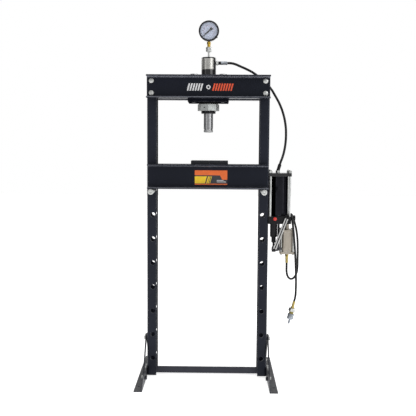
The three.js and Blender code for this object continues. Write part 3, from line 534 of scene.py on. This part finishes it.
# The uprights' paint is a lighter copy of the beams' black paint: painted light, lighter towards the floor.
upright_paint = finish("charcoal_paint_uprights", **{**PAINT, "colour": (0.0075, 0.0083, 0.0135)})
for side in ("left", "right"):
    keep(f"{side}_upright", upright_paint, 0.9)
    keep(f"{side}_foot", floor_lit_paint, 0.9)
for beam in ("top_beam", "bed_beam"):
    low, high = (v.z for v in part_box(f"{beam}_front"))
    # Each beam's paint has two lighter lines: a painted highlight on the bends of its web.
    beam_paint = finish(f"charcoal_paint_{beam}",
                        zone=(bend_highlights(low + LINE_ABOVE_EDGE, high - LINE_BELOW_EDGE),
                        {**BEAM, "colour": (0.15, 0.155, 0.18)}), **BEAM)
    for face in ("front", "rear"):
        keep(f"{beam}_{face}", beam_paint, 0.9)
# The bolts of a brace are the part of its node that is farthest from the middle.
# The braces' paint is a lighter copy of the black paint: painted light, lighter towards the floor.
bolted = finish("paint_and_bolts", zone=(place_mask(0, 0.3099, CENTRE), ZINC),
                **{**PAINT, "colour": (0.018, 0.0185, 0.023)})
for side in ("left", "right"):
    for face in ("front", "rear"):
        keep(f"brace_{face}_{side}", bolted, 0.7)
# So are the studs of the crossbar.
# The crossbar's paint is a lighter copy of the black paint still: painted light near the floor.
studded = finish("paint_and_studs", zone=(place_mask(0, 0.2932, CENTRE), ZINC),
                 **{**PAINT, "colour": (0.034, 0.0345, 0.043)})
keep("lower_crossbar", studded, 0.7)
# The hanger bolts are bright only above the beam, from 1.4912 m up.
hung = finish("paint_and_hanger_bolts", zone=(place_mask(2, 0.2, 1.2912),
                                              {**ZINC, "colour": (0.45, 0.45, 0.45)}), **PAINT)
for side in ("left", "right"):
    keep(f"ram_hanger_{side}", hung, 0.9)
    keep(f"arbor_plate_{side}", plate_paint, 0.9)
keep("ram_plate", painted_shade_paint, 0.9)
# The nut is bright from 1325.6 to 1358.4 mm high, and the node is near black above and below.
NUT_ZINC = {**ZINC, "colour": (0.30, 0.315, 0.31), "rough": 0.40}
nut_look = finish("nut_and_collar", zone=(place_mask(2, 0.0164, 1.3420),
                                          dict(colour=(0.004, 0.004, 0.005), rough=0.5, specular=0.1)),
                  **NUT_ZINC)
keep("cylinder_lock_nut", nut_look, 0.9)
keep("return_spring", steel, 0)
keep("pump_top_plate", gloss, 0.9)
keep("pump_base_block", cast_black, 0.9)
keep("pump_mount_bolts", zinc, 0.5)
keep("lever_fulcrum", cast_black, 0.5)
# The lever's arm is bright from 59.3 to 84.7 mm in front of the middle, and the rest is a darker copy of the same
# steel: painted shade.
lever_look = finish("pressed_lever", zone=(place_mask(1, 0.0127, -0.072),
                                           dict(colour=(0.05, 0.05, 0.055), rough=0.4, metal=0.7,
                    mottle=0.3, mottle_scale=60, grain=0.3, grain_scale=900, edge=(0.5, 0.5, 0.5),
                                                edge_amount=0.7)), **PRESSED)
keep("pump_lever", lever_look, 0.2)

# bolts at the ends of the top beams: backing plate, shank, washer and head
for side, sx in (("left", -1), ("right", 1)):
    for face, sy in (("front", -1), ("rear", 1)):
        p = Piece(f"beam_bolts_{face}_{side}", "frame", "zinc_plate", zinc, f"top_bolts_{face}_{side}")
        x = sx * 277
        p.prism(place(x, 0, 1439, "y"), rect(-12, -42, 12, 42), *sorted((sy * 39.7, sy * 43.7)), 0.6)
        for z in (1468, 1410):
            m = place(x, 0, z, "y" if sy > 0 else "-y", 11 if z > 1440 else 37)
            p.hexagon(m, 31, 39.9, 19, top=False, bottom=True)
            p.thread(m, 30, 33, 5.9)
            p.turned(m, [(0, 39), (6, 39), (6, 58), (0, 58)], 28)
            p.washer(m, 56.6, 59.1, 12)
            p.hexagon(m, 59, 66.1, 19)
            p.turned(m, [(0, 65.9), (6.2, 65.9), (6.2, 66.05), (0, 66.05)], 28)
        p.done()

# ---------------------------------------------------------------- cylinder, ram and saddle
origin = place(0, 0, 0)
p = Piece("cylinder_tube", "frame", "black_paint", gloss, "cylinder_barrel")
p.turned(origin, [(29, 1326), (35.2, 1326), (36, 1326.8), (36, 1500), (35.6, 1500.4), (35.6, 1501.6),
                  (36, 1502), (36, 1582),
                  (35.7, 1583.9), (34.8, 1585.6), (33.2, 1586.5), (12, 1586.5), (11, 1585.5),
                  (5.4, 1585.5), (5.4, 1574.5), (3, 1572.5),
                  (3, 1548), (29, 1548)], 96)
p.done()
p = Piece("cylinder_foil", "frame", "bright_steel", foil)
start, end = math.radians(-160.5), math.radians(-45.5)
rings = []
for i in range(41):
    t = start + (end - start) * i / 40
    rings.append([origin @ Vector((r * math.cos(t), r * math.sin(t), z))
                  for r, z in ((35.9, 1527), (36.22, 1527.1), (36.22, 1579.9), (35.9, 1580))])
p.skin(rings, False, True)
p.done()
p = Piece("cylinder_guide", "frame", "black_paint", cast_black, "cylinder_gland")
p.turned(origin, [(23.55, 1313.5), (24.4, 1312.9), (33.6, 1312.9), (34.6, 1313.4), (35.5, 1314.6),
                  (35.5, 1325.7), (28.7, 1325.7),
                  (28.7, 1352), (23.55, 1352)], 72)
p.done()
p = Piece("ram_rod", "ram", "bright_steel", rod_steel, "ram")
p.turned(origin, [(0, 1238.3), (22.6, 1238.3), (23.25, 1239), (23.25, 1510), (28.0, 1510), (28.7, 1510.7),
                  (28.7, 1520), (27.2, 1520.4),
                  (27.2, 1525.6), (28.7, 1526), (28.7, 1544.3), (28, 1545), (13, 1545), (13, 1300),
                  (0, 1300)], 80)
p.done()
p = Piece("ram_nose", "ram", "bright_steel", steel, "ram_saddle", smooth=25)
p.turned(origin, [(0, 1221), (3, 1221), (3.6, 1222.4), (5, 1222.4), (5.6, 1221), (8, 1221), (8.6, 1222.4),
                  (10, 1222.4), (10.6, 1221),
                  (13, 1221), (13.6, 1222.4), (15, 1222.4), (15.6, 1221), (20.6, 1221), (22.5, 1222.6),
                  (22.5, 1233), (21.4, 1233.6),
                  (21.4, 1234.4), (22.5, 1235), (22.5, 1238), (0, 1238)], 96,
         flute=lambda k, i: (-0.7 if i % 4 in (1, 2) else 0) if k in (13, 14, 15) else 0)
p.done()

# ---------------------------------------------------------------- pressure gauge
GZ = 1712.8  # height of the gauge's middle
DIAL_START, DIAL_SWEEP = 138, 270  # degrees
face = place(0, 0, GZ, "-y")
p = Piece("gauge_housing", "frame", "black_paint", bakelite, "gauge_case")
p.turned(face, [(0, -22), (40.5, -22), (43.5, -21), (46.4, -18.2), (47, -16), (47, 12.5), (47.6, 13.6),
                (49.2, 14.2), (50, 15.6),
                (50, 19.2), (49.4, 20.5), (48, 21), (43.6, 21), (42.4, 20.6), (42, 19.9), (42.2, 19.3),
                (45, 19.2), (45, 9.7), (42, 9.7), (42, -18), (0, -18)], 112)
p.prism(place(38.6, -15, GZ - 31.6, "y"), rounded_box(3.6, 2.6, 1.2, 3), -2.2, 3.4, 0.4)
p.use(rubber).turned(place(0, -8, 0), [(0, GZ + 44), (6, GZ + 44), (6, GZ + 49.6), (5.2, GZ + 51.2),
                                       (3.5, GZ + 51.5), (0, GZ + 51.5)], 36)
p.done()
p = Piece("dial_plate", "frame", "dial_card", card, "gauge_dial")
p.turned(face, [(0, 10), (44.2, 10), (44.4, 10.3), (44.2, 11), (0, 11)], 96)
p.done()


def dial_angle(t):
    """The direction of a reading from 0 to 1, anticlockwise from +X as the operator sees it."""
    return math.radians(-(DIAL_START + DIAL_SWEEP * t))


p = Piece("dial_scale", "frame", "needle_black", ink)


def dial_bar(t, r0, r1, half):
    """A mark on the dial at reading t, from radius r0 to r1."""
    a = dial_angle(t)
    d, s = Vector((math.cos(a), math.sin(a))), Vector((-math.sin(a), math.cos(a)))
    corners = [d * r0 - s * half, d * r1 - s * half, d * r1 + s * half, d * r0 + s * half]
    p.prism(flat, [(c.x, c.y) for c in corners], 0.01, 0.12)


flat = Matrix.Translation(at(0, -11, GZ)) @ Matrix.Rotation(math.pi / 2, 4, "X") @ Matrix.Scale(MM, 4)
for i in range(51):
    dial_bar(i / 50, 38.0 if i % 10 else 35.4, 41.5, 0.28 if i % 5 else 0.42)
p.use(ink_red)
for i in range(31):
    dial_bar(i / 30, 23.5 if i % 5 else 22.0, 26.0, 0.26)
for i in range(72):
    dial_bar((i + 0.5) / 72, 26.0, 26.5, 0.79)
p.use(ink)
for i in range(90):
    dial_bar((i + 0.5) / 90, 41.5, 42.1, 1.12)
p.done()


def dial_numbers():
    """Plain scale numbers as thin raised ink."""
    dg = bpy.context.evaluated_depsgraph_get
    joined = bmesh.new()
    for i in range(6):
        text = bpy.data.curves.new("number", "FONT")
        text.body, text.size, text.align_x, text.align_y = str(i * 5), 6.4, "CENTER", "CENTER"
        text.extrude, text.resolution_u = 0.06, 3
        obj = bpy.data.objects.new("number", text)
        scene.collection.objects.link(obj)
        bpy.context.view_layer.update()
        mesh = bpy.data.meshes.new_from_object(obj.evaluated_get(dg()))
        a = dial_angle(i / 5)
        mesh.transform(flat @ Matrix.Translation((31 * math.cos(a), 31 * math.sin(a), 0.08)))
        joined.from_mesh(mesh)
        bpy.data.objects.remove(obj)
        bpy.data.curves.remove(text)
        bpy.data.meshes.remove(mesh)
    q = Piece("dial_numbers", "frame", "needle_black", ink)
    q.bm.free()
    q.bm = joined
    bmesh.ops.remove_doubles(joined, verts=joined.verts, dist=1e-7)
    q.done()


dial_numbers()
p = Piece("gauge_glass", "frame", "clear_glass", glass, "gauge_lens")
p.turned(face, [(0, 17.5), (44.0, 17.5), (44.5, 17.9), (44.5, 18.4), (44.0, 18.8), (0, 19)], 96)
p.done()
p = Piece("gauge_needle", "needle", "needle_black", needle, "gauge_pointer")
lie = Matrix.Translation(at(0, 0, GZ)) @ Matrix.Rotation(math.radians(DIAL_START), 4,
                                                         "Y") @ Matrix.Rotation(math.pi / 2, 4,
                                                                                "X") @ Matrix.Scale(MM, 4)
p.prism(lie, [(-11, -3.2), (8, -3.2), (30, -2.5), (36, -0.7), (36, 0.7), (30, 2.5), (8, 3.2), (-11, 3.2)],
        13.4, 14.6, 0.12)
p.turned(lie, [(0, 12.2), (3.6, 12.2), (4, 12.6), (4, 15), (3.4, 15.6), (1.2, 15.6), (1, 15.3), (0, 15.3)],
         40)
p.turned(lie @ Matrix.Translation((-15, 0, 0)),
         [(0, 13.4), (6.9, 13.4), (7.1, 13.6), (7.1, 14.4), (6.9, 14.6), (0, 14.6)], 40)
p.done()
p = Piece("gauge_brass_stem", "frame", "brass", brass, "gauge_stem")
p.turned(origin, [(0, 1637.3), (7.4, 1637.3), (8, 1638), (8, 1649.4), (0, 1649.4)], 40)
p.hexagon(place(0, 0, 0, spin=12), 1649, 1662.4, 17, bottom=True)
p.turned(origin, [(0, 1662), (6, 1662), (6, 1674.5), (0, 1674.5)], 40)
p.done()
p = Piece("gauge_steel_coupling", "frame", "bright_steel", zinc, "gauge_coupling")
p.turned(origin, [(0, 1575), (5, 1575), (5, 1608), (6.2, 1609), (6.2, 1614.2), (0, 1614.2)], 40)
p.hexagon(place(0, 0, 0, spin=8), 1614, 1637, 25, bottom=True, sides=36)
p.done()

# ---------------------------------------------------------------- bed pins
for side, sx in (("left", -1), ("right", 1)):
    p = Piece(f"{side}_pin_turned", f"{side}_pin", "zinc_plate", zinc, f"{side}_bed_pin")
    p.turned(place(sx * 270.6, 0, 934.2, "y"),
             [(0, -160.4), (2.2, -160.4), (3.4, -161.6), (5, -162), (12, -162), (13.1, -161.5),
              (13.5, -160.4), (13.5, -151.2),
              (13, -150.2), (10.9, -150), (10.2, -149.4), (10.2, -147.6), (10.5, -147), (10.5, 106.5),
              (10.2, 108), (7, 111.6), (6.2, 112), (0, 112)], 56)
    p.done()

# ---------------------------------------------------------------- pump: tank, rods, knob, barrel, plunger
PX = 355.5  # middle of the tank
p = Piece("oil_tank", "frame", "black_paint", tank_black, "oil_reservoir")
p.turned(place(PX, 0, 0), [(37, 811.3), (40, 811.3), (40, 815), (39.5, 815.6), (39.5, 817.4), (40, 818),
                           (40, 1001), (39.5, 1001.6),
                           (39.5, 1003.4), (40, 1004), (40, 1007.7), (37, 1007.7)], 112)
p.done()
for side, sx in (("left", -1), ("right", 1)):
    for name, sy in (("front", -1), ("rear", 1)):
        p = Piece(f"tie_rod_{name}_{side}", "frame", "zinc_plate", zinc, f"pump_tie_rod_{name}_{side}")
        m = place(PX + sx * 47, sy * 47, 0, spin=15 + 20 * sx * sy)
        p.turned(m, [(0, 792), (5.2, 792), (5.2, 1021), (0, 1021)], 36)
        p.thread(m, 1020, 1039, 5.2)
        p.hexagon(m, 1024.3, 1034, 15, bottom=True)
        p.done()
p = Piece("release_knob", "release_valve", "red_plastic", red, "release_valve_knob")
m = place(331, 0, 800, "-y")
p.turned(m, [(0, 55.3), (7.2, 55.3), (8.0, 56.2), (8.3, 57), (8.7, 58), (8.7, 67.6), (8.1, 68.6),
             (7.1, 69), (4, 69), (3.6, 68.6), (0, 68.6)], 72,
         flute=lambda k, i: -0.75 * (1 + math.cos(math.radians(i * 5 * 10))) / 2 if 3 <= k <= 7 else 0)
p.use(steel).turned(m, [(0, 34), (5, 34), (5, 56), (0, 56)], 32)
p.done()
p = Piece("hand_pump_barrel", "frame", "black_paint", cast_black, "pump_barrel")
p.turned(place(327, -34, 0), [(8.3, 680.5), (10.2, 680.5), (11, 681.3), (11, 705.8), (12.2, 707.4),
                              (17, 709.6), (18, 711), (18, 735),
                              (17.4, 735.8), (17.4, 738.2), (18, 739), (18, 773.7), (8.3, 773.7)], 64)
p.done()
p = Piece("hand_pump_plunger", "plunger", "black_paint", cast_black, "pump_plunger")
m = place(327, -34, 0)
p.turned(m, [(0, 703), (7.4, 703), (8, 703.6), (8, 756.4), (7.4, 757), (0, 757)], 40)
p.turned(m, [(0, 655), (5.4, 655), (5.4, 704), (0, 704)], 36)
p.prism(m, rounded_box(9, 5, 1.5, 3), 633.5, 660, 0.8)
p.turned(place(327, -34, 643.5, "y"), [(0, -16), (4.4, -16), (5, -15.4), (5, 15.4), (4.4, 16), (0, 16)], 32)
p.done()
LEVER_LEAN, LEVER_LENGTH = math.radians(69.3), 180.3
tip = (327 + LEVER_LENGTH * math.cos(LEVER_LEAN), 643.5 + LEVER_LENGTH * math.sin(LEVER_LEAN))
p = Piece("lever_boss", "lever", "black_paint", cast_black, "lever_end_boss")
p.turned(place(tip[0], 0, tip[1], "-y"), [(0, 56.3), (9.2, 56.3), (10, 57.1), (10, 70.6), (8.8, 71.9),
                                          (5, 72), (4.4, 71.4), (4.4, 64), (0, 64)], 48)
p.done()

# ---------------------------------------------------------------- air motor and its brass inlet
MX, MY, IX = 396, 12, 398  # middle of the motor, and of its inlet
mm = place(MX, MY, 0)
CORNERS = [(MX + sx * 29.5, MY + sy * 29.5) for sx in (-1, 1) for sy in (-1, 1)]
p = Piece("motor_head", "frame", "cast_alloy", alloy, "air_motor_head")
p.prism(mm, rounded_box(36, 36, 7), 729.8, 741.5, 1.0)
p.turned(place(MX - 1, MY, 0), [(0, 740.5), (13, 740.5), (12, 742.5), (12, 766), (11.2, 767), (11.2, 769),
                                (12, 770), (12, 773.7), (0, 773.7)], 48)
p.done()
p = Piece("motor_housing", "frame", "cast_alloy", alloy, "air_motor_body")
sides = []
for k in range(4):  # four flat sides joined by cut corners, with small rounds between
    for x, y in arc(33, 17.8, 1.5, 0, 45, 3) + arc(17.8, 33, 1.5, 45, 45, 3):
        turn = math.radians(90 * k)
        sides.append((x * math.cos(turn) - y * math.sin(turn), x * math.sin(turn) + y * math.cos(turn)))
p.prism(mm, sides, 632, 729.5, 0)
p.done()
p = Piece("motor_end_cap", "frame", "cast_alloy", alloy, "air_motor_base")
p.prism(mm, rounded_box(36, 36, 7), 620, 631.7, 1.0)
for x, y in CORNERS:
    p.use(zinc).hexagon(place(x, y, 621, "-z", 20), 0, 6, 10)
    p.turned(place(x, y, 0), [(0, 631), (3, 631), (3, 729.5), (0, 729.5)], 24)
p.done()
p = Piece("motor_studs", "frame", "zinc_plate", zinc)
for x, y in CORNERS:
    p.hexagon(place(x, y, 741.1, "z", 25), 0, 5, 10)
p.done()
p = Piece("inlet_fitting", "frame", "brass", pale_brass, "air_inlet_fitting")
p.hexagon(place(IX, MY, 0, spin=20), 605, 619.7, 17, bottom=True, top=False)
p.turned(place(IX, MY, 0), [(0, 573), (6.8, 573), (7.5, 573.7), (7.5, 580), (6.7, 580.8), (6.7, 582.2),
                            (7.5, 583), (7.5, 587),
                            (6.7, 587.8), (6.7, 589.2), (7.5, 590), (7.5, 605.5), (0, 605.5)], 48)
p.done()

# ---------------------------------------------------------------- hose ends and the free coupler
crimps = [(0, 60), (9, 60)]
for z in (66, 71, 76, 81):
    crimps += [(9, z), (8.2, z + 0.8), (8.2, z + 2.4), (9, z + 3.2)]
p = Piece("oil_hose_end_top", "frame", "zinc_plate", zinc, "hose_end_cylinder")
m = place(0, 0, 1560, "x", 15)
p.turned(m, [(0, 28), (4.5, 28), (4.5, 38), (0, 38)], 32)
p.hexagon(m, 36.6, 47, 19, bottom=True)
p.use(cast_black).turned(m, [(0, 46), (7.4, 46), (8.2, 47), (8.2, 60), (7.6, 61), (0, 61)], 40)
p.use(zinc_dull).turned(m, crimps + [(9, 90), (8.2, 91), (0, 91)], 48)
p.done()
p = Piece("oil_hose_end_low", "frame", "zinc_plate", zinc, "hose_end_pump")
p.hexagon(place(346, 0, 0, spin=10), 1024.3, 1036, 19, bottom=True)
leaning = Vector((0, 0, 1)).rotation_difference(Vector((0.29, 0.2, 0.936))).to_matrix().to_4x4()
p.use(cast_black).turned(Matrix.Translation(at(346, 0, 1032)) @ leaning @ Matrix.Scale(MM, 4),
                         [(0, 0), (8.5, 0), (8.5, 9), (7.8, 9.8), (7.8, 11.2), (8.5, 12), (8.5, 18),
                          (7.8, 18.8), (7.8, 20.2),
                          (8.5, 21), (8.5, 35), (7.7, 36), (0, 36)], 48)
p.done()
hang = Matrix.Translation(at(433.9, -34, 385.5)) @ Matrix.Rotation(math.radians(13), 4,
                                                                   "Y") @ Matrix.Scale(MM, 4)
p = Piece("air_ferrule", "frame", "brass", pale_brass, "air_hose_ferrule")
p.turned(hang, [(0, -28.5), (7, -28.5), (7, -21), (6.3, -20.4), (6.3, -18.6), (7, -18), (7, -13),
                (6.3, -12.4), (6.3, -10.6),
                (7, -10), (7, -0.8), (6.3, 0), (0, 0)], 40)
p.hexagon(hang, -35, -28, 17, bottom=True)
p.done()
p = Piece("quick_coupler", "frame", "zinc_plate", zinc, "air_coupler")
p.hexagon(hang, -52, -35.3, 31, bottom=True)
p.use(zinc_dull).turned(hang, [(0, -92), (13.5, -92), (15.6, -90.4), (16, -88), (16, -80), (15, -79),
                               (15, -76.6), (16, -75.6), (16, -66),
                (15.2, -64.6), (13.6, -63.6), (0, -63.6)], 60, flute=lambda k,
                        i: -0.4 if k in (3, 4) and i % 2 else 0)
p.turned(hang, [(0, -116), (3.6, -116), (4.6, -114.8), (5, -113), (5, -106), (6.1, -105.4), (6.5, -104.6),
                (6.5, -103), (6, -102.2),
                (4.4, -101), (4.4, -98), (5, -96.5), (5, -91), (0, -91)], 40)
p.use(dark_brass).turned(hang, [(0, -51), (11.5, -51), (11.5, -64), (0, -64)], 48)
p.done()

# ---------------------------------------------------------------- plain colour bars on the beams
FILM_Y = -56.3  # the beams' front faces
BACKING, ON_BACKING, BAR = (0.02, 0.14), (0.16, 0.26), (0.02, 0.22)  # depths of the films
film = Matrix.Translation(at(0, FILM_Y, 0)) @ Matrix.Rotation(math.pi / 2, 4, "X") @ Matrix.Scale(MM, 4)


def bars(p, x0, x1, count):
    z0, z1, gap, slant = 1421, 1456, 5.0, 9
    step = (x1 - x0 - slant) / count
    for i in range(count):
        a = x0 + i * step
        p.prism(film, [(a, z0), (a + step - gap, z0), (a + step - gap + slant, z1), (a + slant, z1)], *BAR)


p = Piece("beam_bars_pale", "frame", "dial_card", film_white)
bars(p, -105, -20, 6)
p.turned(film @ Matrix.Translation((0, 1438.5, 0)), [(5, 0.02), (10.5, 0.02), (10.5, 0.22), (5, 0.22)], 48)
p.done()
p = Piece("beam_bars_red", "frame", "red_plastic", film_red)
bars(p, 18, 127, 8)
p.done()
p = Piece("bed_panel", "bed", "dial_card", film_dark)
p.prism(film, rect(-64, 965, 95, 1035.5), *BACKING)
p.use(film_orange)
p.prism(film, [(-64, 1011.5), (60, 1011.5), (70, 990), (95, 990), (95, 1035.5), (-64, 1035.5)], *ON_BACKING)
p.prism(film, rect(-64, 965, 95, 970.5), *ON_BACKING)
p.use(film_yellow)
p.prism(film, [(-64, 972), (-14, 972), (-5, 1006), (-64, 1006)], *ON_BACKING)
for i, x in enumerate((-4, 4, 12)):
    p.prism(film, [(x - 4, 972), (x + 1.6 - 1.5 * i, 972), (x + 10.6 - 1.5 * i, 1006), (x + 5, 1006)],
            *ON_BACKING)
p.use(film_white)
p.prism(film, rect(44, 978, 88, 981), *ON_BACKING)
p.prism(film, rect(44, 985, 76, 988), *ON_BACKING)
p.done()


# ---------------------------------------------------------------- studio
def softbox(name, where, aim, size, power):
    data = bpy.data.lights.new(name, "AREA")
    data.shape, data.size, data.size_y, data.energy = "RECTANGLE", size[0], size[1], power
    lamp = bpy.data.objects.new(name, data)
    lamp.location = where
    lamp.rotation_mode = "QUATERNION"
    lamp.rotation_quaternion = (Vector(aim) - Vector(where)).to_track_quat("-Z", "Y")
    scene.collection.objects.link(lamp)


LIGHTS = (  # name, place, aim, size, watts
    ("key", (2.4, -3.0, 2.7), (0, 0, 1.0), (1.2, 2.6), 40),
    ("right_strip", (2.9, -1.7, 1.5), (0, 0, 1.0), (0.8, 2.4), 13),
    ("fill", (-2.8, -2.2, 1.6), (0, 0, 0.9), (0.7, 2.4), 7),
    ("overhead", (0, -0.4, 4.0), (0, 0, 0), (2.4, 1.6), 45),
    ("back_left", (-2.8, 2.6, 3.0), (0, 0, 0.9), (1.0, 1.6), 22),
    ("back_right", (2.8, 2.6, 3.0), (0, 0, 0.9), (1.0, 1.6), 30))
FLOOR_HALF = 14  # metres


def studio():
    """A pale floor and soft lights. The world is dim and even at the sides, and white towards +Y,
    behind the object."""
    world = bpy.data.worlds.new("studio")
    scene.world = world
    world.use_nodes = True
    nt = world.node_tree
    nt.nodes.clear()
    away = node(nt, "SeparateXYZ", 1, Vector=node(nt, "TexCoord", 0))
    level = maths(nt, "ADD", ranged(nt, away, -0.9, -0.1, 0.62, 0.16),
                  ranged(nt, away, 0.5, 0.915, 0, 0.84))
    nt.links.new(node(nt, "Background", Color=(1, 1, 1, 1), Strength=level),
                 nt.nodes.new("ShaderNodeOutputWorld").inputs[0])
    m = bpy.data.materials.new("pale_floor")
    m.use_nodes = True
    nt = m.node_tree
    nt.nodes.clear()
    grain = ranged(nt, noise(nt, 30, 4), 0.3, 0.7, 0.84, 0.88)
    c = node(nt, "CombineColor", i0=grain, i1=grain, i2=grain)
    away = node(nt, "VectorMath", 1, {"operation": "LENGTH"}, i0=node(nt, "TexCoord", OBJECT_COORDINATES))
    surface = node(nt, "BsdfPrincipled", Base_Color=c, Roughness=0.8, Emission_Color=(1, 1, 1, 1),
                   Emission_Strength=ranged(nt, away, 0.4, 1.6, 0.72, 0.95))
    nt.links.new(surface, nt.nodes.new("ShaderNodeOutputMaterial").inputs[0])
    bm = bmesh.new()
    bmesh.ops.create_grid(bm, x_segments=8, y_segments=8, size=FLOOR_HALF)
    mesh = bpy.data.meshes.new("floor")
    bm.to_mesh(mesh)
    bm.free()
    mesh.materials.append(m)
    floor = bpy.data.objects.new("floor", mesh)
    scene.collection.objects.link(floor)
    for light in LIGHTS:
        softbox(*light)
    scene.view_settings.view_transform = "Standard"
    scene.view_settings.look = "None"


studio()
